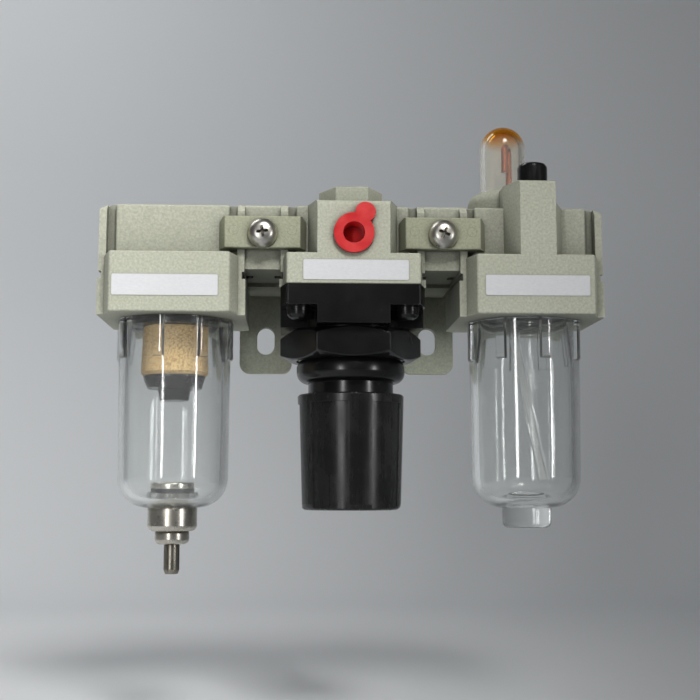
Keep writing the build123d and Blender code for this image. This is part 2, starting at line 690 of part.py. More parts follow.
# ---- spacers, brackets and clamps, about the spacer's middle ----
def spacer_bracket():
    half = SPACER_WIDTH / 2
    shape = block(-half, half, -BLOCK_Y, 14.0, SPACER_LOW, BODY_TOP)
    shape = fillet(shape.edges().filter_by(Axis.X).group_by(Axis.Y)[0].group_by(Axis.Z)[-1], 0.8)
    shape += block(-half, half, 10, WALL_Y - PLATE_THICK + 1, SPACER_LOW - 1.2, 5.0)
    plate = block(-PLATE_HALF, PLATE_HALF, WALL_Y - PLATE_THICK, WALL_Y, BRACKET_LOW, BODY_TOP)
    plate = fillet(plate.edges().filter_by(Axis.Y), 3.0)
    shape += plate
    shape -= rod_along_x(PASSAGE_R, -half - 1, half + 1)
    for side in (-1, 1):
        low = side * (half - 1.9) if side > 0 else -half - 1
        groove = rod_along_x(9.0, low, low + 2.9) - rod_along_x(7.0, low - 1, low + 4)
        shape -= groove
    slot = SlotOverall(SLOT_HEIGHT, SLOT_WIDTH, rotation=90)
    shape -= Pos(0, WALL_Y - PLATE_THICK - 1, SLOT_Z) * Rot(-90, 0, 0) * extrude(slot, amount=PLATE_THICK + 2)
    return shape - rod_along_y(1.98, -BLOCK_Y - 1, -6.6, 0, CLAMP_SCREW_Z)


def spacer_seal(side):
    return Pos(side * (SPACER_WIDTH / 2 - 0.95), 0, 0) * Rot(0, 90, 0) * Torus(8.0, 0.95)


def clamp():
    """A bar whose claws reach behind the flange tips on both sides of a spacer."""
    tip_room = SPACER_WIDTH / 2 + TIP_THICK + 0.15
    claw = tip_room + 1.9
    bar = mirrored_plan([
        (10.4, -CLAMP_FRONT), (12.1, -CLAMP_BACK), (claw, -CLAMP_BACK), (claw, -GROOVE_Y - 0.2),
        (tip_room, -GROOVE_Y - 0.2), (tip_room, -TIP_Y - 0.1),
    ], CLAMP_LOW, CLAMP_HIGH)
    outline = front_outline([
        (-12.2, CLAMP_LOW), (12.2, CLAMP_LOW), (12.2, CLAMP_HIGH - 1.4), (10.95, CLAMP_HIGH),
        (-10.95, CLAMP_HIGH), (-12.2, CLAMP_HIGH - 1.4),
    ], -CLAMP_FRONT - 1, -5)
    bar &= outline
    face_edges = bar.edges().filter_by_position(Axis.Y, -CLAMP_FRONT - 0.01, -CLAMP_FRONT + 0.01)
    bar = fillet(face_edges, 0.45)
    return bar - rod_along_y(2.2, -CLAMP_FRONT - 1, -5, 0, CLAMP_SCREW_Z)


def clamp_screw():
    head = Rot(90, 0, 0) * turned(
        [(0, 0), (4.1, 0), (4.1, 0.7)] + arc_points(1.6, 0.7, 2.5, 10, 70, 5) + [(1.6, 3.2), (0, 3.25)]
    )
    cross = block(-2.3, 2.3, -3.6, -1.4, -0.5, 0.5) + block(-0.5, 0.5, -3.6, -1.4, -2.3, 2.3)
    shank = rod_along_y(1.95, -0.1, CLAMP_FRONT - 6.8)
    return Pos(0, -CLAMP_FRONT - 0.02, CLAMP_SCREW_Z) * (head - cross + shank)


def label(x_low, x_high, z_low, z_high):
    shape = block(x_low, x_high, -FACE_Y - 0.15, -FACE_Y, z_low, z_high)
    return fillet(shape.edges().filter_by(Axis.Y), 0.5)


FILTER_PARTS = [
    filter_body, filter_stud, filter_deflector, filter_element, filter_baffle, filter_bowl,
    drain_inner_nut, drain_seal, drain_housing, drain_ring, drain_core, drain_core_seal, drain_spring,
]
REGULATOR_PARTS = [
    regulator_body, valve_plug, valve_plug_seal, inlet_valve, valve_spring, diaphragm, diaphragm_plate,
    adjusting_spring, adjusting_nut, adjusting_screw, bonnet, bonnet_screws, panel_nut, knob,
    gauge_port_cap, rear_gauge_plug,
]
LUBRICATOR_PARTS = [lubricator_body, lubricator_bowl]
MODULES = [
    (FILTER_X, FILTER_PARTS),
    (REGULATOR_X, REGULATOR_PARTS),
    (LUBRICATOR_X, LUBRICATOR_PARTS),
]
PLACED_PARTS = [
    sight_dome, sight_dome_seal, drip_nozzle, drip_tube, fill_plug, fill_plug_seal, flow_damper,
    check_ball, siphon_tube,
]


def main():
    os.makedirs("parts", exist_ok=True)
    for x, parts in MODULES:
        for part in parts:
            write(part.__name__, part(), x)
    for part in PLACED_PARTS:
        write(part.__name__, part())
    write("filter_bowl_seal", bowl_seal(), FILTER_X)
    write("lubricator_bowl_seal", bowl_seal(), LUBRICATOR_X)
    write("filter_label", label(4.6, 33.2, -17.5, -11.7))
    write("regulator_label", label(56.2, 85.0, -12.9, -7.3))
    write("lubricator_label", label(106.0, 134.8, -16.9, -11.2))
    joints_x = (FILTER_X + PITCH / 2, REGULATOR_X + PITCH / 2)
    for index, (side, x) in enumerate(zip(("left", "right"), joints_x)):
        write(f"spacer_bracket_{side}", spacer_bracket(), x)
        write(f"clamp_{side}", clamp(), x)
        write(f"clamp_screw_{side}", clamp_screw(), x)
        write(f"spacer_seal_{2 * index + 1}", spacer_seal(-1), x)
        write(f"spacer_seal_{2 * index + 2}", spacer_seal(1), x)


main()
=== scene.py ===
import json
import math

import bmesh
import bpy
from mathutils import Matrix, Vector


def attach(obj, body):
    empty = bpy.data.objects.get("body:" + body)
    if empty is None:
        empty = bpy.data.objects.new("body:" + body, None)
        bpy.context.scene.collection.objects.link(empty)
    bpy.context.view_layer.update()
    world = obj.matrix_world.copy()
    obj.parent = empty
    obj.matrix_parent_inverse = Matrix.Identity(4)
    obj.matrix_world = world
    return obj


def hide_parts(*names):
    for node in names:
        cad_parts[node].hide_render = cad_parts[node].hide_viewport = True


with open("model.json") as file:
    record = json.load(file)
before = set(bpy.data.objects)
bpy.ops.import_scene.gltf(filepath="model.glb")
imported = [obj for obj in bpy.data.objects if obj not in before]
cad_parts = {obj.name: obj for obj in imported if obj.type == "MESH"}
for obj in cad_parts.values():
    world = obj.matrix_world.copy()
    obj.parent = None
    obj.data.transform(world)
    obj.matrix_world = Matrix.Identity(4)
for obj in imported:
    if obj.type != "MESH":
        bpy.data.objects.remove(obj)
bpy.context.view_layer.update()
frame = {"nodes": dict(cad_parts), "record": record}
NODES = frame["nodes"]
MM = 0.001

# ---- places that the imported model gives, in millimetres ----
FILTER_X = 20.0
REGULATOR_X = 70.0
LUBRICATOR_X = 120.0
CLAMP_XS = (45.0, 95.0)
CLAMP_FACE_Y = -16.0
CLAMP_SCREW_Z = 0.6
BODY_BOTTOM = -21.9
BOWL_R = 15.7
BOWL_WALL = 2.3
BOWL_LOW = -74.6
BOWL_CORNER = 8.5
NECK_R = 14.9
NECK_INNER_R = 12.6
NECK_TOP = -11.9
NECK_CHAMFER = 0.3
THREAD_TURNS = 4
THREAD_PITCH = 2.0
THREAD_DEPTH = 0.55
SHOULDER_Z = BODY_BOTTOM - 0.3
RIB_R = 16.75
RIB_LOW = -33.4
RIB_COUNT = 8
DOME_X = 115.2
DOME_Y = 3.5
DOME_R = 6.65
DOME_TOP = 37.2
DOME_LOW = 8.7
DOME_INNER_R = 5.0
AMBER_FADE = (33.0, 35.8)
CROWN_FADE = (37.0, 39.8)
SCREW_HEAD_TOP = 3.2
SCREW_LENGTH = 9.2
RECESS_DEPTH = 1.9
EJECTOR_MARK_R = 1.3


# ---- material helpers ----
class Finish:
    """A Principled material, with short calls for its shader nodes. Scales are per metre."""

    def __init__(self, name, **sockets):
        self.material = bpy.data.materials.new(name)
        self.material.use_nodes = True
        self.tree = self.material.node_tree
        self.surface = self.tree.nodes["Principled BSDF"]
        for socket, value in sockets.items():
            self.surface.inputs[socket.replace("_", " ")].default_value = value
        self.place = self.add("ShaderNodeTexCoord").outputs["Object"]

    def add(self, kind, links=None, **settings):
        node = self.tree.nodes.new(kind)
        for key, value in settings.items():
            setattr(node, key, value)
        for socket, value in (links or {}).items():
            if isinstance(value, bpy.types.NodeSocket):
                self.tree.links.new(value, node.inputs[socket])
            else:
                node.inputs[socket].default_value = value
        return node

    def stretched(self, stretch):
        return self.add("ShaderNodeMapping", {"Vector": self.place, "Scale": stretch}).outputs["Vector"]

    def noise(self, scale, detail=2.0, roughness=0.5, stretch=(1, 1, 1)):
        where = self.place if stretch == (1, 1, 1) else self.stretched(stretch)
        links = {"Vector": where, "Scale": scale, "Detail": detail, "Roughness": roughness}
        return self.add("ShaderNodeTexNoise", links).outputs["Fac"]

    def cells(self, scale):
        links = {"Vector": self.place, "Scale": scale}
        return self.add("ShaderNodeTexVoronoi", links).outputs["Distance"]

    def spread(self, value, low, high, out_low, out_high):
        links = {"Value": value, 1: low, 2: high, 3: out_low, 4: out_high}
        return self.add("ShaderNodeMapRange", links).outputs["Result"]

    def math(self, operation, a, b=0.0):
        return self.add("ShaderNodeMath", {0: a, 1: b}, operation=operation).outputs["Value"]

    def mix(self, factor, a, b):
        node = self.add("ShaderNodeMix", {"Factor": factor}, data_type="RGBA")
        for socket, value in ((6, a), (7, b)):
            if isinstance(value, bpy.types.NodeSocket):
                self.tree.links.new(value, node.inputs[socket])
            else:
                node.inputs[socket].default_value = (*value, 1.0)
        return node.outputs[2]

    def bump(self, height, distance_mm, strength=1.0, under=None):
        links = {"Height": height, "Distance": distance_mm * MM, "Strength": strength}
        if under is not None:
            links["Normal"] = under
        return self.add("ShaderNodeBump", links).outputs["Normal"]

    def axis(self, name):
        return self.add("ShaderNodeSeparateXYZ", {"Vector": self.place}).outputs[name]

    def edge(self, radius_mm):
        """1 along outer edges and corners, 0 on flats."""
        rounded = self.add("ShaderNodeBevel", {"Radius": radius_mm * MM}, samples=4).outputs["Normal"]
        flat = self.add("ShaderNodeNewGeometry").outputs["Normal"]
        dot = self.add("ShaderNodeVectorMath", {0: rounded, 1: flat}, operation="DOT_PRODUCT")
        return self.spread(dot.outputs["Value"], 0.995, 0.85, 0.0, 1.0)

    def crevice(self, distance_mm):
        """Ambient occlusion: 0 in the open, towards 1 in corners and gaps, where shade falls; mixed into
        colours it paints shade.
        """
        node = self.add("ShaderNodeAmbientOcclusion", {"Distance": distance_mm * MM}, samples=4)
        return self.spread(node.outputs["AO"], 0.95, 0.35, 0.0, 1.0)

    def set(self, **links):
        for socket, value in links.items():
            self.tree.links.new(value, self.surface.inputs[socket.replace("_", " ")])
        return self


def tone(colour, factor):
    return tuple(channel * factor for channel in colour)


def cast_paint(name, colour, ejector_marks=()):
    """Sand-textured paint on a die casting: grain, mottling, specks, dirt and painted shade in corners,
    painted shade between parts, edges lightened by wear and a painted highlight.
    """
    finish = Finish(name, Specular_IOR_Level=0.3)
    grain = finish.noise(1500.0, 3.0, 0.65)
    coarse = finish.noise(800.0, 2.0)
    cloud = finish.noise(60.0, 3.0)
    base = finish.mix(finish.spread(grain, 0.3, 0.7, 0.0, 1.0), tone(colour, 0.8), tone(colour, 1.16))
    base = finish.mix(finish.spread(cloud, 0.4, 0.7, 0.0, 0.16), base, (0.43, 0.42, 0.31))
    specks = finish.spread(finish.noise(900.0, 1.0), 0.76, 0.8, 0.0, 0.35)
    base = finish.mix(specks, base, (0.2, 0.18, 0.12))
    # dirt in corners mixed with painted shade: the ambient-occlusion mask darkens corners where shade falls
    grime_and_painted_shade = finish.math("MULTIPLY", finish.crevice(1.6), finish.spread(coarse, 0.35, 0.6, 0.3, 0.6))
    base = finish.mix(grime_and_painted_shade, base, (0.1, 0.09, 0.065))
    # painted shade between parts and in deep recesses: the paint darkened towards a fifth of its colour
    gaps = finish.math("MULTIPLY", finish.crevice(16.0), 0.75)
    base = finish.mix(gaps, base, tone(colour, 0.2))
    edge = finish.edge(0.4)
    # lighter edges: paint rubbed off, partly a painted edge highlight
    wear_and_painted_highlight = finish.math("MULTIPLY", edge, finish.spread(coarse, 0.48, 0.6, 0.0, 0.25))
    base = finish.mix(wear_and_painted_highlight, base, (0.72, 0.71, 0.66))
    chipping = finish.spread(finish.noise(330.0, 3.0, 0.7), 0.56, 0.62, 0.0, 0.55)
    chips = finish.math("MULTIPLY", edge, chipping)
    base = finish.mix(chips, base, (0.13, 0.11, 0.07))
    height = finish.math("ADD", grain, finish.math("MULTIPLY", coarse, 0.6))
    normal = finish.bump(height, 0.08, 0.5)
    for x, z in ejector_marks:
        dx = finish.math("SUBTRACT", finish.axis("X"), x * MM)
        dz = finish.math("SUBTRACT", finish.axis("Z"), z * MM)
        square = finish.math("ADD", finish.math("MULTIPLY", dx, dx), finish.math("MULTIPLY", dz, dz))
        from_ring = finish.math("SUBTRACT", finish.math("SQRT", square), EJECTOR_MARK_R * MM)
        off_ring = finish.math("ABSOLUTE", from_ring)
        groove = finish.spread(off_ring, 0.0, 0.22 * MM, 0.0, 1.0)
        normal = finish.bump(groove, 0.07, 0.6, normal)
        base = finish.mix(finish.spread(off_ring, 0.0, 0.2 * MM, 0.3, 0.0), base, tone(colour, 0.5))
    rough = finish.spread(grain, 0.3, 0.7, 0.5, 0.66)
    return finish.set(Base_Color=base, Roughness=rough, Normal=normal).material


def moulded(name, colour, rough_low, rough_high, grain_mm=0.02, dust=0.04, streaks=0.0):
    """Moulded resin: fine grain, faint dust, rubbed edges partly lightened as a painted highlight and, on the
    knob, lengthwise streaks.
    """
    finish = Finish(name, Specular_IOR_Level=0.4)
    grain = finish.noise(1600.0, 3.0)
    cloud = finish.noise(90.0, 4.0, 0.6)
    base = finish.mix(finish.spread(cloud, 0.45, 0.8, 0.0, dust), colour, (0.13, 0.125, 0.115))
    # lighter edges: rubbed resin, partly a painted edge highlight
    base = finish.mix(finish.math("MULTIPLY", finish.edge(0.35), 0.12), base, (0.14, 0.14, 0.14))
    rough = finish.spread(cloud, 0.3, 0.7, rough_low, rough_high)
    height = grain
    if streaks:
        lines = finish.noise(900.0, 2.0, 0.5, (1, 1, 0.03))
        height = finish.math("ADD", grain, finish.math("MULTIPLY", lines, streaks))
        rough = finish.math("ADD", rough, finish.spread(lines, 0.3, 0.7, -0.04, 0.05))
    normal = finish.bump(height, grain_mm, 0.5)
    return finish.set(Base_Color=base, Roughness=rough, Normal=normal).material


def red_cap_plastic():
    """Soft moulded plastic with a little depth, with painted shade inside the cup."""
    softness = {"Subsurface_Weight": 0.12, "Subsurface_Scale": 2.0 * MM}
    finish = Finish("soft_red_plastic", Specular_IOR_Level=0.45, **softness)
    cloud = finish.noise(260.0, 3.0)
    base = finish.mix(finish.spread(cloud, 0.3, 0.7, 0.0, 1.0), (0.66, 0.02, 0.025), (0.78, 0.045, 0.045))
    # painted shade: darker red in the cup's corners and recess
    base = finish.mix(finish.crevice(2.0), base, (0.26, 0.006, 0.012))
    rough = finish.spread(cloud, 0.3, 0.7, 0.28, 0.42)
    return finish.set(Base_Color=base, Roughness=rough, Normal=finish.bump(cloud, 0.06, 0.5)).material


def clear_resin(name, tint, amber=False, haze=0.04, ior=1.5):
    """Clear resin with moulding waves and fine scratches; the dome is amber on top. Lamp light passes."""
    finish = Finish(name, IOR=ior, Transmission_Weight=1.0 - haze, Roughness=0.03)
    waves = finish.noise(55.0, 2.0, 0.5, (1, 1, 0.35))
    scratches = finish.noise(2200.0, 2.0, 0.5, (1, 1, 0.06))
    base = finish.mix(finish.spread(waves, 0.3, 0.7, 0.0, 1.0), tint, tone(tint, 0.96))
    if amber:
        height = finish.math("ADD", finish.axis("Z"), finish.math("MULTIPLY", waves, 4.0 * MM))
        top = finish.spread(height, AMBER_FADE[0] * MM, AMBER_FADE[1] * MM, 0.0, 1.0)
        base = finish.mix(top, base, (0.86, 0.36, 0.004))
        crown = finish.spread(height, CROWN_FADE[0] * MM, CROWN_FADE[1] * MM, 0.0, 0.6)
        base = finish.mix(crown, base, (0.5, 0.17, 0.01))
    rough = finish.spread(scratches, 0.35, 0.75, 0.03, 0.11)
    normal = finish.bump(waves, 0.25, 0.35, finish.bump(scratches, 0.004, 0.3))
    finish.set(Base_Color=base, Roughness=rough, Normal=normal)
    lamp_ray = finish.add("ShaderNodeLightPath").outputs["Is Shadow Ray"]
    through = finish.add("ShaderNodeBsdfTransparent", {"Color": (*tint, 1.0)}).outputs["BSDF"]
    both = finish.add("ShaderNodeMixShader", {0: lamp_ray, 1: finish.surface.outputs["BSDF"], 2: through})
    output = finish.tree.nodes["Material Output"]
    finish.tree.links.new(both.outputs["Shader"], output.inputs["Surface"])
    return finish.material


def turned_metal(name, colour, stain, rough_low, rough_high, patches=0.35):
    """Turned and plated metal: fine rings from the tool, stains, uneven gloss and painted shade in crevices.
    """
    finish = Finish(name, Metallic=1.0)
    rings = finish.noise(2600.0, 2.0, 0.6, (0.04, 0.04, 1))
    cloud = finish.noise(180.0, 4.0, 0.6)
    base = finish.mix(finish.spread(cloud, 0.45, 0.75, 0.0, patches), colour, stain)
    # painted shade: darker in crevices and grooves, in a darkened stain colour
    base = finish.mix(finish.math("MULTIPLY", finish.crevice(1.2), 0.7), base, tone(stain, 0.4))
    rough = finish.spread(cloud, 0.3, 0.7, rough_low, rough_high)
    return finish.set(Base_Color=base, Roughness=rough, Normal=finish.bump(rings, 0.02, 0.5)).material


def rubber():
    finish = Finish("black_nitrile", Specular_IOR_Level=0.4)
    cloud = finish.noise(400.0, 3.0)
    base = finish.mix(finish.spread(cloud, 0.4, 0.7, 0.0, 1.0), (0.012, 0.012, 0.013), (0.035, 0.034, 0.033))
    return finish.set(Base_Color=base, Roughness=finish.spread(cloud, 0.3, 0.7, 0.4, 0.6)).material


def sintered():
    """Porous sintered resin: packed granules with dark pores."""
    finish = Finish("sintered_resin", Specular_IOR_Level=0.2, Roughness=0.85)
    grains = finish.cells(1900.0)
    cloud = finish.noise(140.0, 3.0)
    base = finish.mix(finish.spread(cloud, 0.3, 0.7, 0.0, 1.0), (0.47, 0.31, 0.13), (0.57, 0.41, 0.2))
    base = finish.mix(finish.spread(grains, 0.4, 0.8, 0.0, 0.55), base, (0.15, 0.08, 0.03))
    return finish.set(Base_Color=base, Normal=finish.bump(grains, -0.12, 0.8)).material


def paper_label():
    """A blank laminated sticker: faint fibres, a slight wave and a yellowed rim."""
    finish = Finish("blank_label", Specular_IOR_Level=0.45)
    fibres = finish.noise(2600.0, 3.0, 0.6, (0.4, 1, 1))
    cloud = finish.noise(120.0, 2.0)
    base = finish.mix(finish.spread(fibres, 0.3, 0.7, 0.0, 1.0), (0.73, 0.745, 0.77), (0.79, 0.8, 0.82))
    base = finish.mix(finish.math("MULTIPLY", finish.edge(0.35), 0.5), base, (0.5, 0.5, 0.46))
    rough = finish.spread(cloud, 0.3, 0.7, 0.3, 0.42)
    return finish.set(Base_Color=base, Roughness=rough, Normal=finish.bump(cloud, 0.12, 0.4)).material


def stage_paper():
    finish = Finish("backdrop_paper", Specular_IOR_Level=0.2, Roughness=0.9)
    cloud = finish.noise(3.0, 2.0)
    base = finish.mix(cloud, (0.72, 0.74, 0.76), (0.74, 0.76, 0.775))
    return finish.set(Base_Color=base).material


# ---- finishes, by the record's material slots ----
BODY_COLOUR = (0.54, 0.555, 0.45)
CLAMP_COLOUR = (0.42, 0.435, 0.31)
CLEAR = (0.93, 0.945, 0.94)
EJECTOR_MARKS = [(joint + side * 8.0, 1.4) for joint in CLAMP_XS for side in (-1, 1)]
FINISHES = {
    "die_cast_body": cast_paint("cast_body_paint", BODY_COLOUR),
    "die_cast_clamp": cast_paint("cast_clamp_paint", CLAMP_COLOUR, EJECTOR_MARKS),
    "black_resin": moulded("black_resin", (0.006, 0.006, 0.0065), 0.2, 0.28, 0.012),
    "red_plastic": red_cap_plastic(),
    "clear_resin": clear_resin("clear_bowl_resin", CLEAR),
    "nickel": turned_metal("nickel_plate", (0.64, 0.61, 0.54), (0.34, 0.3, 0.23), 0.22, 0.34),
    "bright_steel": turned_metal("bright_zinc", (0.62, 0.6, 0.55), (0.36, 0.33, 0.27), 0.26, 0.4, 0.5),
    "stained_nickel": turned_metal("stained_nozzle", (0.34, 0.32, 0.27), (0.12, 0.1, 0.07), 0.22, 0.4, 0.8),
    "spring_steel": turned_metal("spring_wire", (0.52, 0.52, 0.53), (0.25, 0.22, 0.19), 0.25, 0.4),
    "sintered_element": sintered(),
    "black_rubber": rubber(),
    "brass": turned_metal("turned_brass", (0.72, 0.53, 0.25), (0.42, 0.27, 0.1), 0.2, 0.35),
    "copper": turned_metal("dull_copper", (0.36, 0.11, 0.06), (0.2, 0.06, 0.035), 0.3, 0.45, 0.5),
    "label_white": paper_label(),
    "siphon_clear": clear_resin("clear_nylon_tube", (0.97, 0.97, 0.96), ior=1.1),
    "dome_resin": clear_resin("clear_dome_resin", (0.94, 0.93, 0.88), amber=True, haze=0.08),
    "knob_resin": moulded("knob_resin", (0.01, 0.01, 0.01), 0.2, 0.32, 0.015, 0.05, 0.6),
}


# ---- how CAD nodes are finished ----
SHARP_DEGREES = 32.0


def smooth(mesh, angle=SHARP_DEGREES):
    mesh.polygons.foreach_set("use_smooth", [True] * len(mesh.polygons))
    mesh.set_sharp_from_angle(angle=math.radians(angle))


def round_edges(node, width_mm):
    """Joins each flat face's triangles and rounds the edges, as modifiers on the CAD mesh."""
    weld = node.modifiers.new("join_faces", "WELD")
    weld.merge_threshold = 0.002 * MM
    flats = node.modifiers.new("flats", "DECIMATE")
    flats.decimate_type = "DISSOLVE"
    flats.angle_limit = math.radians(0.6)
    bevel = node.modifiers.new("edges", "BEVEL")
    bevel.width = width_mm * MM
    bevel.segments = 2
    bevel.limit_method = "ANGLE"
    bevel.angle_limit = math.radians(SHARP_DEGREES)
    bevel.use_clamp_overlap = True
    normals = node.modifiers.new("normals", "WEIGHTED_NORMAL")
    normals.keep_sharp = True


EDGE_ROUNDING = {
    "filter_body": 0.3, "regulator_body": 0.3, "lubricator_body": 0.3, "valve_plug": 0.3,
    "spacer_bracket_left": 0.3, "spacer_bracket_right": 0.3, "clamp_left": 0.25, "clamp_right": 0.25,
    "bonnet": 0.18, "panel_nut": 0.25, "knob": 0.22, "fill_plug": 0.15, "gauge_port_cap": 0.2,
    "drain_housing": 0.12, "drain_ring": 0.12, "drain_inner_nut": 0.12,
    "filter_deflector": 0.12, "filter_baffle": 0.15,
}


def finish_nodes():
    for part in frame["record"]["subparts"]:
        node = NODES[part["node"]]
        node.data.materials.clear()
        node.data.materials.append(FINISHES[part["material_slot"]])
        smooth(node.data)
    for name, width in EDGE_ROUNDING.items():
        round_edges(NODES[name], width)


# ---- lathe-made pieces ----
def piece(name, bm, material, body, slot, *nodes):
    mesh = bpy.data.meshes.new(name)
    bmesh.ops.recalc_face_normals(bm, faces=bm.faces)
    bm.to_mesh(mesh)
    bm.free()
    mesh.materials.append(material)
    obj = bpy.data.objects.new(name, mesh)
    bpy.context.scene.collection.objects.link(obj)
    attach(obj, body)
    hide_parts(*nodes)
    return obj


def arc(centre_r, centre_z, radius, start, end, count):
    angles = [math.radians(start + (end - start) * i / count) for i in range(count + 1)]
    return [(centre_r + radius * math.cos(a), centre_z + radius * math.sin(a)) for a in angles]


def lathe(outline, angles, place, lift=None):
    """Turns a closed outline of (radius, z) about an upright axis; lift changes a point's radius."""
    bm = bmesh.new()
    rings = []
    for index, (radius, z) in enumerate(outline):
        if radius < 1e-6:
            pole = bm.verts.new((place[0] * MM, place[1] * MM, z * MM))
            rings.append([pole] * len(angles))
            continue
        ring = []
        for angle in angles:
            r = radius if lift is None else lift(angle, radius, index)
            at = (place[0] + r * math.cos(angle), place[1] + r * math.sin(angle), z)
            ring.append(bm.verts.new(tuple(value * MM for value in at)))
        rings.append(ring)
    for low, high in zip(rings, rings[1:] + rings[:1]):
        for i in range(len(angles)):
            j = (i + 1) % len(angles)
            corners = []
            for vertex in (low[i], low[j], high[j], high[i]):
                if vertex not in corners:
                    corners.append(vertex)
            if len(corners) > 2:
                bm.faces.new(corners)
    return bm


def even_angles(count):
    return [2 * math.pi * i / count for i in range(count)]


RIB_HALF = [(1.62, 0.0), (1.42, 0.55), (1.2, 0.92), (0.8, 1.0)]
RIB_STEPS = [(-offset, share) for offset, share in RIB_HALF] + RIB_HALF[::-1]
BETWEEN_RIBS = 14


def ribbed_angles(first_degrees):
    """Angles round the bowl, close together at the ribs' sides, and how far each stands out, 0 to 1."""
    angles, shares = [], []
    for rib in range(RIB_COUNT):
        centre = math.radians(first_degrees) + rib * 2 * math.pi / RIB_COUNT
        for offset, share in RIB_STEPS:
            angles.append(centre + offset / BOWL_R)
            shares.append(share)
        start = RIB_STEPS[-1][0] / BOWL_R
        gap = 2 * math.pi / RIB_COUNT - 2 * start
        for step in range(1, BETWEEN_RIBS):
            angles.append(centre + start + gap * step / BETWEEN_RIBS)
            shares.append(0.0)
    return angles, shares


def bowl(name, x, first_rib, foot, floor, body, node):
    """A clear bowl: threaded neck, grip ribs, a rounded bottom and the given foot and floor outlines."""
    wall_low = BOWL_R - 0.3
    inner_r = BOWL_R - BOWL_WALL
    outline = [(NECK_INNER_R, NECK_TOP), (NECK_R - NECK_CHAMFER, NECK_TOP), (NECK_R, NECK_TOP - NECK_CHAMFER)]
    root_r = NECK_R - THREAD_DEPTH
    for turn in range(THREAD_TURNS):
        z = NECK_TOP - 1.4 - turn * THREAD_PITCH
        outline += [(NECK_R, z), (root_r, z - 0.5), (root_r, z - 1.0), (NECK_R, z - 1.4)]
    outline += [(NECK_R, SHOULDER_Z), (BOWL_R + 0.3, SHOULDER_Z)]
    first = len(outline) - 1
    outline += [(BOWL_R + 0.28, -23.0), (BOWL_R + 0.1, -31.8), (BOWL_R + 0.03, -32.7)]
    outline += [(BOWL_R, RIB_LOW + 0.12), (BOWL_R, RIB_LOW)]
    last = len(outline) - 2
    outline += [(BOWL_R - 0.1, -42.0), (BOWL_R - 0.2, -54.0)]
    outline += arc(wall_low - BOWL_CORNER, BOWL_LOW + BOWL_CORNER, BOWL_CORNER, 0, -84, 16)
    outline += foot + floor
    inner_corner = BOWL_CORNER - BOWL_WALL
    outline += arc(wall_low - BOWL_CORNER, BOWL_LOW + BOWL_CORNER, inner_corner, -84, 0, 14)
    outline += [(inner_r - 0.1, -50.0), (inner_r, RIB_LOW), (NECK_INNER_R, -26.0)]
    angles, shares = ribbed_angles(first_rib)
    share_at = dict(zip(angles, shares))

    def lift(angle, radius, index):
        if not first <= index <= last:
            return radius
        lower_edge = 0.72 if index == last else 1.0
        return radius + (RIB_R - radius) * share_at[angle] * lower_edge

    bm = lathe(outline, angles, (x, 0.0), lift)
    made = piece(name, bm, FINISHES["clear_resin"], body, "clear_resin", node)
    smooth(made.data, 38.0)
    return made


def make_bowls():
    foot = [(5.4, BOWL_LOW), (4.75, BOWL_LOW + 0.3)]
    floor = [(4.75, -70.6), (6.9, -70.6), (7.15, -70.85), (7.25, -71.9)]
    bowl("filter_bowl_clear", FILTER_X, -101.0, foot, floor, "filter_bowl", "filter_bowl")
    nub_side = [(7.0, BOWL_LOW - 0.1), (6.95, -77.4)]
    nub = nub_side + arc(5.2, -78.55, 1.7, 8, -90, 8) + [(3.6, -80.28), (0, -80.2)]
    inside = [(0, -70.9), (4.5, -70.9), (4.95, -71.15), (5.3, -72.0)]
    bowl("lubricator_bowl_clear", LUBRICATOR_X, -124.0, nub, inside, "lubricator_bowl", "lubricator_bowl")


def make_dome():
    """The sight dome: a straight wall with a round top, hollow, amber at the crown."""
    top = DOME_TOP - DOME_R
    outline = [(DOME_INNER_R, DOME_LOW), (DOME_R - 0.2, DOME_LOW), (DOME_R, DOME_LOW + 0.2)]
    outline += [(DOME_R, 17.0), (DOME_R, 24.0)]
    outline += arc(0, top, DOME_R, 0, 90, 22)[:-1] + [(0, DOME_TOP)]
    outline += [(0, top + DOME_INNER_R)] + arc(0, top, DOME_INNER_R, 90, 0, 18)[1:]
    outline += [(DOME_INNER_R + 0.05, 24.0), (DOME_INNER_R + 0.1, 17.0)]
    bm = lathe(outline, even_angles(96), (DOME_X, DOME_Y))
    made = piece("sight_dome_clear", bm, FINISHES["dome_resin"], "sight_dome", "dome_resin", "sight_dome")
    smooth(made.data, 40.0)


# ---- cross-recess screws ----
def cross_outline(reach, half_width):
    quarter = [(reach, -half_width), (reach, half_width), (half_width, half_width)]
    points = []
    for turn in range(4):
        c, s = round(math.cos(turn * math.pi / 2)), round(math.sin(turn * math.pi / 2))
        points += [(x * c - y * s, x * s + y * c) for x, y in quarter]
    return points


def cross_cutter(mouth, floor, depth):
    """A tapered four-winged recess, opening upwards from z = -depth to a little above z = 0."""
    bm = bmesh.new()
    above = 0.6
    rings = []
    for (reach, half), z in ((floor, -depth), (mouth, above)):
        rings.append([bm.verts.new((x * MM, y * MM, z * MM)) for x, y in cross_outline(reach, half)])
    low, high = rings
    for i in range(len(low)):
        j = (i + 1) % len(low)
        bm.faces.new((low[i], low[j], high[j], high[i]))
    bm.faces.new(list(reversed(low)))
    bm.faces.new(high)
    bmesh.ops.recalc_face_normals(bm, faces=bm.faces)
    return bm


def temporary(name, bm):
    mesh = bpy.data.meshes.new(name)
    bmesh.ops.recalc_face_normals(bm, faces=bm.faces)
    bm.to_mesh(mesh)
    bm.free()
    obj = bpy.data.objects.new(name, mesh)
    bpy.context.scene.collection.objects.link(obj)
    return obj


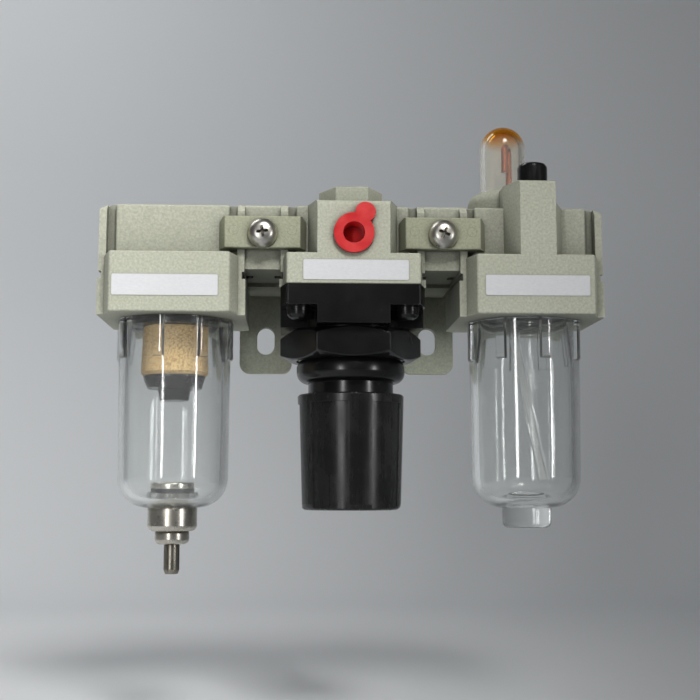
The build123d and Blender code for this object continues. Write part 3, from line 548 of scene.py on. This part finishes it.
def cut(target, cutter):
    """target minus cutter, as a new bmesh; both objects are removed."""
    modifier = target.modifiers.new("recess", "BOOLEAN")
    modifier.operation = "DIFFERENCE"
    modifier.solver = "EXACT"
    modifier.object = cutter
    evaluated = target.evaluated_get(bpy.context.evaluated_depsgraph_get())
    mesh = bpy.data.meshes.new_from_object(evaluated)
    bm = bmesh.new()
    bm.from_mesh(mesh)
    for obj in (target, cutter):
        bpy.data.objects.remove(obj)
    bpy.data.meshes.remove(mesh)
    return bm


def clamp_screw(side, x):
    """A pan-head screw: domed head with a tapered cross recess, and its shank."""
    dome = [(4.0, 0.6)] + arc(1.25, 0.2, 2.88, 12, 72, 9) + [(1.2, 3.14), (0, SCREW_HEAD_TOP)]
    shank = [(0, -SCREW_LENGTH), (1.95, -SCREW_LENGTH), (1.95, 0.0)]
    outline = shank + [(3.9, 0.0), (4.08, 0.2)] + dome
    head = temporary("head", lathe(outline, even_angles(72), (0.0, 0.0)))
    cutter = temporary("cutter", cross_cutter((2.05, 0.46), (0.6, 0.28), RECESS_DEPTH))
    cutter.location.z = SCREW_HEAD_TOP * MM
    bpy.context.view_layer.update()
    bm = cut(head, cutter)
    turn = {"left": 8.0, "right": -24.0}[side]
    facing = Matrix.Rotation(math.radians(90), 4, "X") @ Matrix.Rotation(math.radians(turn), 4, "Z")
    at = Matrix.Translation(Vector((x, CLAMP_FACE_Y, CLAMP_SCREW_Z)) * MM)
    bm.transform(at @ facing)
    name = f"clamp_screw_{side}"
    made = piece(f"{name}_pan_head", bm, FINISHES["bright_steel"], "root", "bright_steel", name)
    smooth(made.data, 30.0)


# ---- stage, light, camera ----
def make_stage():
    """A pale floor that curves up into a backdrop, well below and behind the object."""
    floor_z, wall_y, radius, side, steps = -0.135, 0.6, 0.25, 1.6, 16
    profile = [(-1.4, floor_z), (wall_y - radius, floor_z)]
    for step in range(1, steps + 1):
        angle = math.radians(-90 + 90 * step / steps)
        y = wall_y - radius + radius * math.cos(angle)
        profile.append((y, floor_z + radius + radius * math.sin(angle)))
    profile.append((wall_y, 1.4))
    bm = bmesh.new()
    middle_x = REGULATOR_X * MM
    rows = [[bm.verts.new((middle_x + x, y, z)) for x in (-side, side)] for y, z in profile]
    for low, high in zip(rows, rows[1:]):
        bm.faces.new((low[0], low[1], high[1], high[0]))
    mesh = bpy.data.meshes.new("backdrop")
    bm.to_mesh(mesh)
    bm.free()
    mesh.materials.append(stage_paper())
    mesh.polygons.foreach_set("use_smooth", [True] * len(mesh.polygons))
    obj = bpy.data.objects.new("backdrop", mesh)
    bpy.context.scene.collection.objects.link(obj)


def softbox(name, at, aim, width, height, radiance, colour=(1.0, 1.0, 1.0), spread=180.0):
    light = bpy.data.lights.new(name, "AREA")
    light.shape = "RECTANGLE"
    light.size = width
    light.size_y = height
    light.energy = radiance * math.pi * width * height
    light.color = colour
    light.spread = math.radians(spread)
    obj = bpy.data.objects.new(name, light)
    obj.location = at
    obj.rotation_euler = (Vector(aim) - Vector(at)).to_track_quat("-Z", "Y").to_euler()
    bpy.context.scene.collection.objects.link(obj)


def make_light():
    """A frontal softbox that falls off to the right, two upright strips and one for the backdrop."""
    middle = (REGULATOR_X * MM, 0.0, -0.03)
    softbox("key", (0.14, -0.48, 0.4), (-0.15, 0.0, -0.02), 0.2, 0.2, 4.5, (1.0, 0.985, 0.965), 60.0)
    softbox("left_strip", (-0.143, -0.5, -0.02), middle, 0.04, 0.16, 22.0)
    softbox("right_strip", (0.96, -0.8, 0.02), middle, 0.04, 0.28, 55.0)
    softbox("backdrop", (-0.28, 0.15, 0.5), (-0.2, 0.6, 0.0), 0.4, 0.2, 6.5)
    world = bpy.data.worlds.new("studio")
    world.use_nodes = True
    background = world.node_tree.nodes["Background"]
    background.inputs["Color"].default_value = (0.84, 0.87, 0.9, 1.0)
    background.inputs["Strength"].default_value = 0.06
    bpy.context.scene.world = world


def make_camera():
    """The camera stands in front and a little below the axis, looking up by under seven degrees."""
    camera = bpy.data.cameras.new("camera")
    camera.sensor_width = 36.0
    camera.lens = 61.24
    camera.clip_start = 0.01
    camera.clip_end = 20.0
    obj = bpy.data.objects.new("camera", camera)
    forward = Vector((0.04488, 0.99222, 0.11615)).normalized()
    obj.location = (0.05451, -0.33855, -0.06942)
    obj.rotation_euler = forward.to_track_quat("-Z", "Y").to_euler()
    bpy.context.scene.collection.objects.link(obj)
    bpy.context.scene.camera = obj


finish_nodes()
make_bowls()
make_dome()
for clamp_side, clamp_x in zip(("left", "right"), CLAMP_XS):
    clamp_screw(clamp_side, clamp_x)
make_stage()
make_light()
make_camera()
bpy.context.scene.view_settings.view_transform = "Standard"
